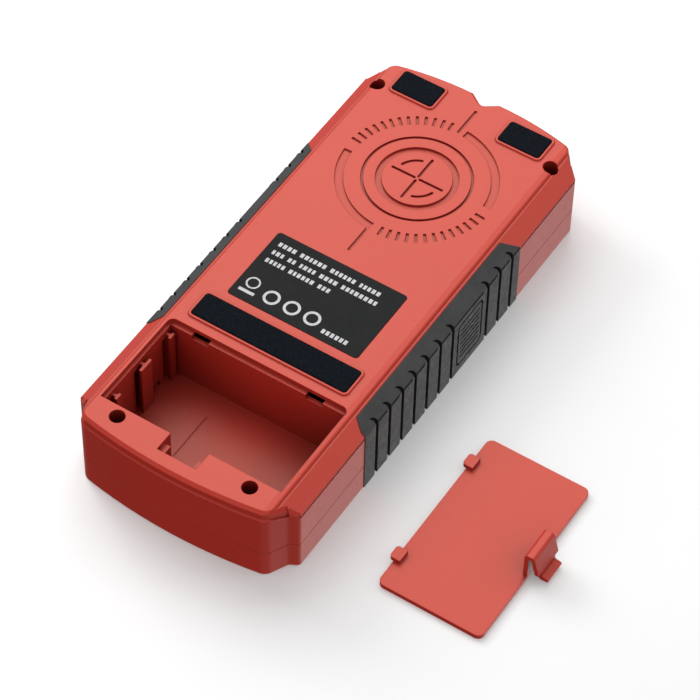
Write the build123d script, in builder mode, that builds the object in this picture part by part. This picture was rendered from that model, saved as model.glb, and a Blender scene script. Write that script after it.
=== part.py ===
from build123d import *
import os

# Handheld stud finder, lying on its front face with its battery door beside it.
# X is across the case, +Y points to the notched sensing end, +Z to the back cover.
# The origin is on the front face, on the centre line, 80 mm from the plain end. Millimetres.

# ---- Case ----
CASE_WIDTH = 70.6
CASE_HEIGHT = 27.1
PARTING_Z = 9.6
WALL = 2.0
PLAIN_END_Y = -80.0
NOTCH_SHOULDER_Y = 81.1
CASE_LENGTH = NOTCH_SHOULDER_Y - PLAIN_END_Y
HALF_WIDTH = CASE_WIDTH / 2

# Stepped corners: side wall's end, hollow bend and end wall's corner, with their radii
PLAIN_CORNER = ((HALF_WIDTH, -69.6), (32.7, -71.0), (29.5, -77.3))
NOTCHED_CORNER = ((HALF_WIDTH, 72.0), (32.5, 74.2), (29.1, 78.2))
BEND_RADII = (1.5, 1.8, 3.6)
NOTCHED_END_BOW = (18.0, 80.3)
NOTCH_HALF_WIDTH = 4.3
NOTCH_DEPTH = 3.0
NOTCH_RADIUS = 1.4

# Sloped shoulder along both long sides, and the stepped lip where it meets the back
SHOULDER_Z = 22.2
SHOULDER_TOP = (30.85, 26.05)
LIP_LINE = [(30.4, 26.0), (30.0, 26.65), (29.7, 26.87), (28.2, CASE_HEIGHT)]
KNEE_GROOVE_Z = (21.1, 21.9)
KNEE_GROOVE_DEPTH = 0.35
END_STEP_Z = 23.8
END_STEP = 0.4
STEP_FALL_START = 1.7
BACK_EDGE_BEVEL = 0.9
FRONT_EDGE_BEVEL = 0.4
SEAM_WIDTH = 0.25
SEAM_DEPTH = 0.4

# ---- Battery bay, in the back cover ----
BAY_HALF_X = 28.8
BAY_NEAR_Y = -68.7
BAY_FAR_Y = -36.05
BAY_LEDGE = 0.8
BAY_FAR_LEDGE = 1.3
BAY_FLOOR_Z = 5.5
FLOOR_LINE_X = -11.0
FLOOR_LINE_Y = (-61.5, -45.5)
FLOOR_LINE_WIDTH = 0.35
FLOOR_LINE_DEPTH = 0.2
BAY_SKIN = 1.3
RIB_SLITS = ((-54.6, -52.05), (-41.6, -39.85))
RIB_SLIT_TOP = 22.5
REBATE_Z = 25.5
BAY_CORNER_RADIUS = 2.0
LATCH_NOTCH_HALF_X = 6.2
LATCH_NOTCH_Y = -74.9
CATCH_INNER_X = 4.4
CATCH_TIP_Y = -71.2
CATCH_Z = (23.8, 25.4)
TAB_X = 18.4
TAB_SLOT_WIDTH = 5.4
TAB_SLOT_Z = (24.0, 25.7)

# ---- Battery door ----
DOOR_GAP = 0.25
DOOR_THICKNESS = 1.5
DOOR_BASE_Z = CASE_HEIGHT - DOOR_THICKNESS
DOOR_NEAR_Y = BAY_NEAR_Y + DOOR_GAP
TAB_WIDTH = 4.1
TAB_REACH = 1.3
TAB_LENGTH = 3.3
TAB_HEIGHT = 1.4
TAB_RADIUS = 0.9
LATCH_WIDTH = 10.3
LATCH_TIP_WIDTH = 7.1
LATCH_HEIGHT = 10.4
SHOULDER_HEIGHT = 3.8
DOOR_LYING = (19.3, -34.9)

# ---- Screws ----
CASE_SCREW_SPOTS = [(-21.1, -71.9), (21.1, -71.9), (-29.0, 67.9), (29.0, 67.9)]
BOSS_RADIUS = 3.5
SCREW_WELL_RADIUS = 2.25
SCREW_SEAT_Z = 13.0
SCREW_HEAD_RADIUS = 2.1
SCREW_HEAD_HEIGHT = 1.7
SCREW_SHANK_RADIUS = 1.3
SCREW_TIP_Z = 3.6

# ---- Battery snap, behind a window in the bay's right wall, and its leads ----
SNAP_Y = -53.0
SNAP_Z = 14.4
SNAP_SPACING = 12.7
SNAP_PLATE = (1.4, 28.0, 13.5)
SNAP_WINDOW = (25.0, 10.5)
SNAP_CORNER_RADIUS = 1.5
STUD_RADIUS = 2.8
SOCKET_RADIUS = 4.4
CONTACT_REACH = 4.0
LEAD_RADIUS = 0.7
LEAD_BEND = 1.0
LEAD_X = 32.2

# ---- Side grips ----
GRIP_PROUD = 0.2
GRIP_SUNK = 1.2
GRIP_WALL_Y = (-38.4, 41.2)
GRIP_SLOPE_Y = (-36.2, 36.6)
GRIP_SLOPE_X = 31.2
GROOVE_WIDTH = 1.35
GROOVE_DEPTH = 1.1
GROOVE_PITCH = 6.4
HOOK_REACH = 2.5
KNEE_LINE_WIDTH = 0.45
KNEE_LINE_DEPTH = 0.4
KNEE_LINE_SHARE = 0.75
LOWER_GROOVES = (-32.6, 7)
UPPER_GROOVES = (24.2, 3)
PAD_Y = (8.4, 21.6)
PAD_Z = (2.6, 20.4)
PAD_LINE = 0.7
PAD_RIB_PITCH = 1.9
PAD_RIBS = 7

# ---- Back face furniture ----
TARGET_Y = 43.3
ENGRAVE_DEPTH = 0.5
RING_DEPTH = 0.7
RING_OUTER = (16.0, 15.2)
RING_INNER = (11.9, 10.0)
CROSS_REACH = 8.5
CROSS_GAP = 0.5
CROSS_LINE = 0.8
MARK_ARC_RADIUS = 6.8
WIDE_ARC = (23.3, 20.8)
TICK_RADII = (23.8, 20.6)
TICK_WIDTH = 0.85
LABEL_SIZE = (42.2, 25.9)
LABEL_Y = -7.65
LABEL_THICKNESS = 0.3
LABEL_RECESS = 0.15
FELT_THICKNESS = 1.3
FELT_SUNK = 0.4
RIM_WIDTH = 0.9
RIM_HEIGHT = 0.5
LONG_FELT = (0.0, -28.2, 50.2, 8.6)
SMALL_FELT_SIZE = (13.7, 8.4)
SMALL_FELT_SPOT = (17.85, 72.3)

# ---- Front face: display and keys ----
FRONT_SKIN = 2.2
WINDOW_SIZE = (46.0, 38.0)
WINDOW_Y = 38.0
WINDOW_THICKNESS = 1.2
WINDOW_SUNK = 0.3
VIEW_MARGIN = 3.0
KEY_Y = -22.0
KEY_SIZE = (13.0, 9.0)
KEY_COLUMNS = {"stud_key": -18.0, "metal_key": 0.0, "live_wire_key": 18.0}
POWER_KEY_Y = -7.0
POWER_KEY_SIZE = (20.0, 9.0)
KEY_TOP_Z = 0.3
KEY_GAP = 0.25
KEY_FLANGE = 1.0
KEY_FLANGE_HEIGHT = 0.8
KEY_STEM_Z = 4.0
KEY_STEM_RADIUS = 1.6
KEY_RADIUS = 2.0

# ---- Boards ----
BOARD_Z = 8.0
BOARD_THICKNESS = 1.6
BOARD_SIZE = (54.0, 98.0)
BOARD_Y = 16.0
BOARD_SCREW_SPOTS = [(-24.0, -30.3), (24.0, -30.3), (-24.0, 61.0), (24.0, 61.0)]
SENSOR_BOARD_Z = 19.5
SENSOR_BOARD_SIZE = (50.0, 50.0)
SENSOR_SCREW_SPOTS = [(-22.0, 21.0), (22.0, 21.0), (-22.0, 65.0), (22.0, 65.0)]
POST_RADIUS = 2.3
# Head radius and height, shank radius and length below the board
SMALL_SCREW = (1.9, 1.3, 1.0, 3.5)
SWITCH_SIZE = 6.0
SWITCH_HEIGHT = 2.6
SWITCH_BUTTON = (1.5, 0.6)
# x, y, width and depth of each chip, and x, y, radius and height of each capacitor
CHIP_HEIGHT = 1.2
CHIPS = ((-14, -10, 5, 4), (14, -10, 5, 4), (-12, 6, 6, 5), (10, 8, 4, 4))
CAPACITORS = ((-20, -20, 3.2, 7.0), (-12, -22, 2.5, 6.0), (21, 0, 2.5, 6.0))
CONTROLLER = (10.0, 10.0, 1.4)
CONTROLLER_SPOT = (0, -8)
CRYSTAL = (10.0, 4.2, 3.4)
CRYSTAL_SPOT = (0, 4)
BUZZER_RADIUS = 6.5
BUZZER_HEIGHT = 7.5
BUZZER_SPOT = (12, -22)
LINK_Y = 24.0
LINK_BODY = (15.0, 2.6, 2.6)
LINK_PINS = (6, 2.54, 0.64)
SENSOR_PLATE = (12.0, 34.0)
SENSOR_PLATE_PITCH = 15.0
AERIAL = (30.0, 4.0)
AERIAL_Y = 64.5
FOIL_THICKNESS = 0.2
COIL_RADIUS = 13.0
BOBBIN_HEIGHT = 5.0
BOBBIN_FLANGE = 1.0


def label_and_export(shape, node):
    shape.label = node
    export_step(shape, "parts/" + node + ".step")


# ---- Plan outline of the case, and its cross-section ----

notch_tip = (0, NOTCH_SHOULDER_Y - NOTCH_DEPTH)
notch_shoulder = (NOTCH_HALF_WIDTH, NOTCH_SHOULDER_Y)
plain_end = PLAIN_CORNER[2]

with BuildSketch() as outline:
    with BuildLine() as outline_edge:
        Line(PLAIN_CORNER[0], NOTCHED_CORNER[0])
        Polyline(*NOTCHED_CORNER)
        ThreePointArc(NOTCHED_CORNER[2], NOTCHED_END_BOW, notch_shoulder)
        Line(notch_shoulder, notch_tip)
        Polyline(*PLAIN_CORNER)
        mirror(about=Plane.YZ)
        ThreePointArc((-plain_end[0], plain_end[1]), (0, PLAIN_END_Y), plain_end)
    make_face()
    tips = outline.vertices().filter_by(lambda v: abs(v.X) < NOTCH_HALF_WIDTH + 1)
    fillet(tips, NOTCH_RADIUS)
    for row, radius in enumerate(BEND_RADII):
        for bend_x, bend_y in (PLAIN_CORNER[row], NOTCHED_CORNER[row]):
            bends = outline.vertices().filter_by(
                lambda v: abs(abs(v.X) - bend_x) < 0.1 and abs(v.Y - bend_y) < 0.1
            )
            fillet(bends, radius)


def mirrored(points):
    """A closed run of section points and its mirror image across X."""
    return points + [(-x, z) for x, z in reversed(points)]


def outer_section():
    """Cross-section with a groove under each knee and a stepped lip above each shoulder."""
    groove_x = HALF_WIDTH - KNEE_GROOVE_DEPTH
    return mirrored([
        (HALF_WIDTH, 0),
        (HALF_WIDTH, KNEE_GROOVE_Z[0]),
        (groove_x, KNEE_GROOVE_Z[0]),
        (groove_x, KNEE_GROOVE_Z[1]),
        (HALF_WIDTH, KNEE_GROOVE_Z[1]),
        (HALF_WIDTH, SHOULDER_Z),
        SHOULDER_TOP,
        *LIP_LINE,
    ])


def shoulder_z(x):
    """Height of the shoulder's slope at that distance from the middle."""
    rise = SHOULDER_TOP[1] - SHOULDER_Z
    return SHOULDER_Z + (HALF_WIDTH - x) * rise / (HALF_WIDTH - SHOULDER_TOP[0])


def inner_section():
    """Cross-section of the space inside the walls."""
    slide = WALL * 0.55
    return mirrored([
        (HALF_WIDTH - WALL, 0),
        (HALF_WIDTH - WALL, SHOULDER_Z - slide),
        (SHOULDER_TOP[0] - slide, SHOULDER_TOP[1] - WALL),
        (SHOULDER_TOP[0] - slide, CASE_HEIGHT - WALL),
    ])


def grip_line(shift):
    """Line of the side wall and slope, moved outwards by shift, as three points."""
    run = SHOULDER_TOP[0] - HALF_WIDTH
    rise = SHOULDER_TOP[1] - SHOULDER_Z
    length = (run**2 + rise**2) ** 0.5
    side = HALF_WIDTH + shift
    slope_x = SHOULDER_TOP[0] + shift * rise / length
    slope_z = SHOULDER_TOP[1] - shift * run / length
    knee_z = slope_z + (side - slope_x) * rise / run
    end_z = slope_z + (GRIP_SLOPE_X - slope_x) * rise / run
    return (side, 0), (side, knee_z), (GRIP_SLOPE_X, end_z)


# ---- Side grips ----
# The right grip is drawn and the left one mirrors it.

outer_low, outer_knee, outer_end = grip_line(GRIP_PROUD)
inner_low, inner_knee, inner_end = grip_line(-GRIP_SUNK)

with BuildPart() as grip_body:
    with BuildSketch(Plane.XZ):
        with BuildLine():
            Polyline(
                outer_low, outer_knee, outer_end, inner_end, inner_knee, inner_low, close=True,
            )
        make_face()
    extrude(amount=CASE_LENGTH, both=True)
    with BuildSketch():
        with BuildLine():
            Polyline(
                (HALF_WIDTH + 2, GRIP_WALL_Y[0]), (HALF_WIDTH - 1.2, GRIP_WALL_Y[0]),
                (GRIP_SLOPE_X - 0.1, GRIP_SLOPE_Y[0]), (GRIP_SLOPE_X - 0.1, GRIP_SLOPE_Y[1]),
                (HALF_WIDTH, GRIP_WALL_Y[1]), (HALF_WIDTH + 2, GRIP_WALL_Y[1]), close=True,
            )
        make_face()
    extrude(amount=CASE_HEIGHT, mode=Mode.INTERSECT)

groove_rows = [LOWER_GROOVES[0] + GROOVE_PITCH * i for i in range(LOWER_GROOVES[1])]
groove_rows += [UPPER_GROOVES[0] + GROOVE_PITCH * i for i in range(UPPER_GROOVES[1])]
groove_floor_x = HALF_WIDTH + GRIP_PROUD - GROOVE_DEPTH
groove_half = GROOVE_WIDTH / 2
knee_x, knee_z = outer_knee
slope_normal = (SHOULDER_TOP[1] - SHOULDER_Z, 0, HALF_WIDTH - SHOULDER_TOP[0])
slope_plane = Plane(origin=(knee_x, 0, knee_z), x_dir=(0, 1, 0), z_dir=slope_normal)
pad_middle = (sum(PAD_Y) / 2, sum(PAD_Z) / 2)
pad_size = (PAD_Y[1] - PAD_Y[0], PAD_Z[1] - PAD_Z[0])

with BuildPart() as right_grip:
    add(grip_body.part)
    # Grooves down the side, each ending in a tapered hook on the slope
    with BuildSketch(Plane.YZ.offset(groove_floor_x)):
        with Locations(*[(y, knee_z / 2) for y in groove_rows]):
            Rectangle(GROOVE_WIDTH, knee_z)
    extrude(amount=GROOVE_DEPTH + 1, mode=Mode.SUBTRACT)
    with BuildSketch(slope_plane):
        for y in groove_rows:
            tip = (y - GROOVE_WIDTH, HOOK_REACH)
            with BuildLine():
                ThreePointArc((y + groove_half, 0), (y + 0.1 * GROOVE_WIDTH, 0.75 * HOOK_REACH), tip)
                ThreePointArc(tip, (y - 0.4 * GROOVE_WIDTH, 0.5 * HOOK_REACH), (y - groove_half, 0))
                Line((y - groove_half, 0), (y + groove_half, 0))
            make_face()
    extrude(amount=-GROOVE_DEPTH, mode=Mode.SUBTRACT)
    # Fine line along the knee of each rib
    knee_plane = Plane(origin=(knee_x, 0, knee_z), x_dir=(0, 1, 0), z_dir=(2, 0, 1))
    line_length = KNEE_LINE_SHARE * GROOVE_PITCH
    with BuildSketch(knee_plane):
        with Locations(*[(y + line_length / 2, 0) for y in groove_rows]):
            Rectangle(line_length, KNEE_LINE_WIDTH)
        with Locations((pad_middle[0], 0)):
            Rectangle(pad_size[0], KNEE_LINE_WIDTH)
    extrude(amount=KNEE_LINE_DEPTH, both=True, mode=Mode.SUBTRACT)
    pad_plane = Plane.YZ.offset(HALF_WIDTH + GRIP_PROUD)
    with BuildSketch(pad_plane):
        with Locations(pad_middle):
            RectangleRounded(pad_size[0], pad_size[1], 2.0)
            RectangleRounded(
                pad_size[0] - 2 * PAD_LINE, pad_size[1] - 2 * PAD_LINE, 1.3, mode=Mode.SUBTRACT
            )
            with GridLocations(0, PAD_RIB_PITCH, 1, PAD_RIBS):
                SlotOverall(pad_size[0] - 3.2, PAD_LINE)
    extrude(amount=-0.5, mode=Mode.SUBTRACT)

with BuildPart() as left_grip:
    add(mirror(right_grip.part, about=Plane.YZ))

with BuildPart() as grip_room:
    add(grip_body.part)
    add(mirror(grip_body.part, about=Plane.YZ))

with BuildPart() as seam:
    with BuildSketch(Plane.XY.offset(PARTING_Z)):
        add(outline.sketch)
        offset(outline.sketch, amount=-SEAM_DEPTH, mode=Mode.SUBTRACT)
    extrude(amount=SEAM_WIDTH / 2, both=True)

# ---- Back cover ----



def bevel_wedge(start, end, inset):
    """Wedge that bevels the shoulder's end edge along one straight stretch of the outline."""
    flat = Vector(end[0] - start[0], end[1] - start[1]).normalized()
    outward = Vector(flat.Y, -flat.X)
    edge_ends = []
    for x, y in (start, end):
        edge_x = x - outward.X * inset
        edge_ends.append(Vector(edge_x, y - outward.Y * inset, shoulder_z(edge_x)))
    along = edge_ends[1] - edge_ends[0]
    across = Plane(origin=edge_ends[0], x_dir=outward, z_dir=along)
    inward = Vector(*slope_normal).normalized().cross(along.normalized())
    top = Vector(inward.dot(across.x_dir), inward.dot(across.y_dir)) * BACK_EDGE_BEVEL
    low = Vector(0, BACK_EDGE_BEVEL)
    spare = (top - low) * 0.3
    with BuildPart() as wedge:
        with BuildSketch(across):
            with BuildLine():
                Polyline(top + spare, low - spare, (1, -1), close=True)
            make_face()
        extrude(amount=along.length)
    return wedge.part


def step_fall(bend, hollow):
    """Slab that drops the end's step to the knee's height along one stepped corner."""
    stretch = Vector(hollow[0] - bend[0], hollow[1] - bend[1])
    along = stretch.normalized()
    outward = Vector(along.Y, -along.X)
    if outward.X < 0:
        outward = -outward
    wall_plane = Plane(origin=Vector(*bend), x_dir=along, z_dir=outward)
    up = wall_plane.y_dir.Z
    with BuildPart() as slab:
        with BuildSketch(wall_plane):
            with BuildLine():
                Polyline(
                    (STEP_FALL_START, up * END_STEP_Z),
                    (stretch.length, up * KNEE_GROOVE_Z[1]),
                    (stretch.length, up * CASE_HEIGHT),
                    (STEP_FALL_START, up * CASE_HEIGHT),
                    close=True,
                )
            make_face()
        extrude(amount=END_STEP, both=True)
    return slab.part


# The stepped corners of the right side, in order round the case
corner_walk = [*reversed(PLAIN_CORNER), *NOTCHED_CORNER]

with BuildPart() as shoulder_bevels:
    for start, end, inset in (
        (corner_walk[0], corner_walk[1], END_STEP), (corner_walk[1], corner_walk[2], 0),
        (corner_walk[3], corner_walk[4], 0), (corner_walk[4], corner_walk[5], END_STEP),
    ):
        add(bevel_wedge(start, end, inset))
    for walk in (PLAIN_CORNER, NOTCHED_CORNER):
        add(step_fall(walk[2], walk[1]))
    mirror(about=Plane.YZ)

with BuildPart() as back_block:
    with BuildSketch(Plane.XY.offset(PARTING_Z)):
        add(outline.sketch)
    extrude(amount=END_STEP_Z + END_STEP - PARTING_Z)
    chamfer(back_block.faces().sort_by(Axis.Z)[-1].edges(), END_STEP)
    with BuildSketch(Plane.XY.offset(END_STEP_Z)):
        offset(outline.sketch, amount=-END_STEP)
    extrude(amount=CASE_HEIGHT - END_STEP_Z)
    back_rim = back_block.faces().sort_by(Axis.Z)[-1].edges()
    chamfer(back_rim.filter_by(lambda e: abs(e.center().X) < 33), BACK_EDGE_BEVEL)
    with BuildSketch(Plane.XZ):
        with BuildLine():
            Polyline(*outer_section(), close=True)
        make_face()
    extrude(amount=CASE_LENGTH, both=True, mode=Mode.INTERSECT)
    add(shoulder_bevels.part, mode=Mode.SUBTRACT)

with BuildPart() as back_hollow:
    with BuildSketch(Plane.XY.offset(PARTING_Z)):
        offset(outline.sketch, amount=-WALL)
    extrude(amount=CASE_HEIGHT - WALL - PARTING_Z)
    with BuildSketch(Plane.XZ):
        with BuildLine():
            Polyline(*inner_section(), close=True)
        make_face()
    extrude(amount=CASE_LENGTH, both=True, mode=Mode.INTERSECT)

with BuildPart() as back_bosses:
    with BuildSketch(Plane.XY.offset(PARTING_Z)):
        with Locations(*CASE_SCREW_SPOTS):
            Circle(BOSS_RADIUS)
    extrude(amount=CASE_HEIGHT - PARTING_Z)
    add(back_block.part, mode=Mode.INTERSECT)

bay_wall_x = BAY_HALF_X - BAY_LEDGE
bay_far_wall_y = BAY_FAR_Y - BAY_FAR_LEDGE
bay_mid_y = (BAY_NEAR_Y + BAY_FAR_Y) / 2


def box_between(low, high, mode=Mode.ADD):
    """A box from its low corner to its high corner."""
    middle = [(a + b) / 2 for a, b in zip(low, high)]
    with Locations(tuple(middle)):
        Box(high[0] - low[0], high[1] - low[1], high[2] - low[2], mode=mode)


with BuildPart() as back_cover:
    add(back_block.part)
    add(back_hollow.part, mode=Mode.SUBTRACT)
    add(back_bosses.part)
    # Bay walls and floor, with the well for the door's latch
    bay_under = BAY_FLOOR_Z - BAY_SKIN
    box_between(
        (-bay_wall_x - BAY_SKIN, BAY_NEAR_Y - BAY_SKIN, bay_under),
        (bay_wall_x + BAY_SKIN, bay_far_wall_y + BAY_SKIN, REBATE_Z),
    )
    box_between(
        (-LATCH_NOTCH_HALF_X - BAY_SKIN, LATCH_NOTCH_Y - BAY_SKIN, bay_under),
        (LATCH_NOTCH_HALF_X + BAY_SKIN, BAY_NEAR_Y, REBATE_Z),
    )
    box_between(
        (-bay_wall_x, BAY_NEAR_Y, BAY_FLOOR_Z),
        (bay_wall_x, bay_far_wall_y, CASE_HEIGHT + 1),
        mode=Mode.SUBTRACT,
    )
    box_between(
        (-LATCH_NOTCH_HALF_X, LATCH_NOTCH_Y, BAY_FLOOR_Z),
        (LATCH_NOTCH_HALF_X, BAY_NEAR_Y, CASE_HEIGHT + 1),
        mode=Mode.SUBTRACT,
    )
    # Rebate that the door drops into
    with BuildSketch(Plane.XY.offset(REBATE_Z)):
        with Locations((0, bay_mid_y)):
            Rectangle(2 * BAY_HALF_X, BAY_FAR_Y - BAY_NEAR_Y)
        fillet(vertices().group_by(Axis.Y)[-1], BAY_CORNER_RADIUS)
    extrude(amount=CASE_HEIGHT, mode=Mode.SUBTRACT)
    # Catches at both sides of the latch well, and slots for the door's tabs
    for side in (-1, 1):
        x_range = sorted((side * CATCH_INNER_X, side * LATCH_NOTCH_HALF_X))
        box_between((x_range[0], LATCH_NOTCH_Y, CATCH_Z[0]), (x_range[1], CATCH_TIP_Y, CATCH_Z[1]))
        box_between(
            (side * TAB_X - TAB_SLOT_WIDTH / 2, bay_far_wall_y - 1, TAB_SLOT_Z[0]),
            (side * TAB_X + TAB_SLOT_WIDTH / 2, bay_far_wall_y + 3, TAB_SLOT_Z[1]),
            mode=Mode.SUBTRACT,
        )
    # Battery stop ribs on the left wall: stem and plate of each, to just below the rebate
    for y_low, y_high in ((-65.5, -63.3), (-54.0, -49.2), (-40.5, -38.3)):
        stem_y = (y_low + y_high) / 2
        box_between(
            (-bay_wall_x, stem_y - 0.45, BAY_FLOOR_Z), (-26.4, stem_y + 0.45, REBATE_Z - 1.6)
        )
        box_between((-26.9, y_low, BAY_FLOOR_Z), (-26.0, y_high, REBATE_Z - 1.6))
    # Core-out slits in the left wall, behind the plates of the two far ribs
    for y_low, y_high in RIB_SLITS:
        box_between(
            (-bay_wall_x - BAY_SKIN - 1, y_low, BAY_FLOOR_Z), (-bay_wall_x + 0.1, y_high, RIB_SLIT_TOP),
            mode=Mode.SUBTRACT,
        )
    # Lead hole low in the left wall
    box_between(
        (-bay_wall_x - 3, -46.4, BAY_FLOOR_Z), (-bay_wall_x + 0.1, -43.4, BAY_FLOOR_Z + 2.6),
        mode=Mode.SUBTRACT,
    )
    # Fine moulding line on the bay's floor
    box_between(
        (FLOOR_LINE_X - FLOOR_LINE_WIDTH / 2, FLOOR_LINE_Y[0], BAY_FLOOR_Z - FLOOR_LINE_DEPTH),
        (FLOOR_LINE_X + FLOOR_LINE_WIDTH / 2, FLOOR_LINE_Y[1], BAY_FLOOR_Z),
        mode=Mode.SUBTRACT,
    )
    # Window for the battery snap's contacts
    with BuildSketch(Plane.YZ.offset(bay_wall_x)):
        with Locations((SNAP_Y, SNAP_Z)):
            RectangleRounded(*SNAP_WINDOW, SNAP_CORNER_RADIUS)
    extrude(amount=BAY_SKIN, mode=Mode.SUBTRACT)
    # Screw wells
    with Locations(*[(x, y, CASE_HEIGHT) for x, y in CASE_SCREW_SPOTS]):
        CounterBoreHole(SCREW_SHANK_RADIUS + 0.15, SCREW_WELL_RADIUS, CASE_HEIGHT - SCREW_SEAT_Z)
    # Posts for the sensor board
    with BuildSketch(Plane.XY.offset(SENSOR_BOARD_Z + BOARD_THICKNESS)):
        with Locations(*SENSOR_SCREW_SPOTS):
            Circle(POST_RADIUS)
    extrude(amount=CASE_HEIGHT - WALL - SENSOR_BOARD_Z - BOARD_THICKNESS)
    with BuildSketch(Plane.XY.offset(SENSOR_BOARD_Z + BOARD_THICKNESS)):
        with Locations(*SENSOR_SCREW_SPOTS):
            Circle(SMALL_SCREW[2])
    extrude(amount=SMALL_SCREW[3], mode=Mode.SUBTRACT)
    # Raised felt-pad rims with sunk floors
    felt_pads = [LONG_FELT]
    felt_pads += [(s * SMALL_FELT_SPOT[0], SMALL_FELT_SPOT[1], *SMALL_FELT_SIZE) for s in (-1, 1)]
    for x, y, width, depth in felt_pads:
        with BuildSketch(Plane.XY.offset(CASE_HEIGHT)):
            with Locations((x, y)):
                RectangleRounded(width + 2 * RIM_WIDTH, depth + 2 * RIM_WIDTH, 1.8)
        extrude(amount=RIM_HEIGHT, taper=30)
        with BuildSketch(Plane.XY.offset(CASE_HEIGHT + RIM_HEIGHT)):
            with Locations((x, y)):
                RectangleRounded(width + 0.1, depth + 0.1, 1.05)
        extrude(amount=-RIM_HEIGHT - FELT_SUNK, mode=Mode.SUBTRACT)
    # Shallow bed for the label
    with BuildSketch(Plane.XY.offset(CASE_HEIGHT)):
        with Locations((0, LABEL_Y)):
            RectangleRounded(LABEL_SIZE[0] + 0.1, LABEL_SIZE[1] + 0.1, 1.05)
    extrude(amount=-LABEL_RECESS, mode=Mode.SUBTRACT)
    # Engraved target: two rings, cross, marks, wide arcs and tick scales
    with BuildSketch(Plane.XY.offset(CASE_HEIGHT)):
        with Locations((0, TARGET_Y)):
            for outer_r, inner_r in (RING_OUTER, RING_INNER):
                Circle(outer_r)
                Circle(inner_r, mode=Mode.SUBTRACT)
            for turn in range(0, 360, 90):
                with Locations(Rotation(0, 0, turn)):
                    with Locations(((CROSS_REACH + CROSS_GAP) / 2, 0)):
                        SlotOverall(CROSS_REACH - CROSS_GAP, CROSS_LINE)
    extrude(amount=-RING_DEPTH, mode=Mode.SUBTRACT)
    with BuildSketch(Plane.XY.offset(CASE_HEIGHT)):
        for start in (20, 200):
            with BuildLine():
                middle = CenterArc((0, TARGET_Y), MARK_ARC_RADIUS, 90 + start, 50)
            SlotArc(middle, CROSS_LINE)
    extrude(amount=-RING_DEPTH, mode=Mode.SUBTRACT)
    with BuildSketch(Plane.XY.offset(CASE_HEIGHT)):
        for start, end in ((4, 84), (184, 267)):
            with BuildLine():
                outer_arc = CenterArc((0, TARGET_Y), WIDE_ARC[0], start, end - start)
                inner_arc = CenterArc((0, TARGET_Y), WIDE_ARC[1], start, end - start)
                Line(outer_arc @ 0, inner_arc @ 0)
                Line(outer_arc @ 1, inner_arc @ 1)
            make_face()
        tick_middle = sum(TICK_RADII) / 2
        tick_length = TICK_RADII[0] - TICK_RADII[1]
        with Locations((0, TARGET_Y)):
            for first, last, count in ((96.5, 173.0, 13), (275.0, 354.0, 13)):
                for i in range(count):
                    with Locations(Rotation(0, 0, first + (last - first) * i / (count - 1))):
                        with Locations((tick_middle, 0)):
                            Rectangle(tick_length, TICK_WIDTH)
        # Index lines towards the notch and towards the label
        with Locations((0.4, 69.5), (-1.7, 15.4)):
            Rectangle(TICK_WIDTH, 10.0)
    extrude(amount=-ENGRAVE_DEPTH, mode=Mode.SUBTRACT)
    add(grip_room.part, mode=Mode.SUBTRACT)
    add(seam.part, mode=Mode.SUBTRACT)

# ---- Front cover ----

key_places = {name: (x, KEY_Y, *KEY_SIZE) for name, x in KEY_COLUMNS.items()}
key_places["power_key"] = (0.0, POWER_KEY_Y, *POWER_KEY_SIZE)

with BuildPart() as front_cover:
    with BuildSketch():
        add(outline.sketch)
    extrude(amount=PARTING_Z)
    front_rim = front_cover.faces().sort_by(Axis.Z)[0].edges()
    chamfer(front_rim, FRONT_EDGE_BEVEL)
    with BuildSketch(Plane.XY.offset(FRONT_SKIN)):
        offset(outline.sketch, amount=-WALL)
    extrude(amount=PARTING_Z, mode=Mode.SUBTRACT)
    # Screw bosses and board posts
    with BuildSketch(Plane.XY.offset(FRONT_SKIN)):
        with Locations(*CASE_SCREW_SPOTS):
            Circle(BOSS_RADIUS - 0.3)
    extrude(amount=PARTING_Z - FRONT_SKIN)
    # The bosses beside the bay are cut flat, to clear its wall
    box_between(
        (-BAY_HALF_X, BAY_NEAR_Y - BAY_SKIN - 0.3, BAY_FLOOR_Z - BAY_SKIN - 0.3),
        (BAY_HALF_X, BAY_FAR_Y, PARTING_Z),
        mode=Mode.SUBTRACT,
    )
    with BuildSketch(Plane.XY.offset(FRONT_SKIN)):
        with Locations(*BOARD_SCREW_SPOTS):
            Circle(POST_RADIUS)
    extrude(amount=BOARD_Z - FRONT_SKIN)
    with BuildSketch(Plane.XY.offset(PARTING_Z)):
        with Locations(*CASE_SCREW_SPOTS):
            Circle(SCREW_SHANK_RADIUS)
    extrude(amount=SCREW_TIP_Z - PARTING_Z - 0.2, mode=Mode.SUBTRACT)
    with BuildSketch(Plane.XY.offset(BOARD_Z)):
        with Locations(*BOARD_SCREW_SPOTS):
            Circle(SMALL_SCREW[2])
    extrude(amount=-SMALL_SCREW[3] - 0.2, mode=Mode.SUBTRACT)
    # Window bed and display opening
    with BuildSketch():
        with Locations((0, WINDOW_Y)):
            RectangleRounded(WINDOW_SIZE[0] + 0.2, WINDOW_SIZE[1] + 0.2, 3.1)
    extrude(amount=WINDOW_SUNK + WINDOW_THICKNESS, mode=Mode.SUBTRACT)
    with BuildSketch():
        with Locations((0, WINDOW_Y)):
            RectangleRounded(WINDOW_SIZE[0] - 2 * VIEW_MARGIN, WINDOW_SIZE[1] - 2 * VIEW_MARGIN, 1.5)
    extrude(amount=FRONT_SKIN, mode=Mode.SUBTRACT)
    # Key openings
    with BuildSketch():
        for x, y, width, depth in key_places.values():
            with Locations((x, y)):
                RectangleRounded(width + 2 * KEY_GAP, depth + 2 * KEY_GAP, KEY_RADIUS + KEY_GAP)
    extrude(amount=FRONT_SKIN, mode=Mode.SUBTRACT)
    add(grip_room.part, mode=Mode.SUBTRACT)
    add(seam.part, mode=Mode.SUBTRACT)

# ---- Battery door, drawn on its seat and then turned over beside the case ----


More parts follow.
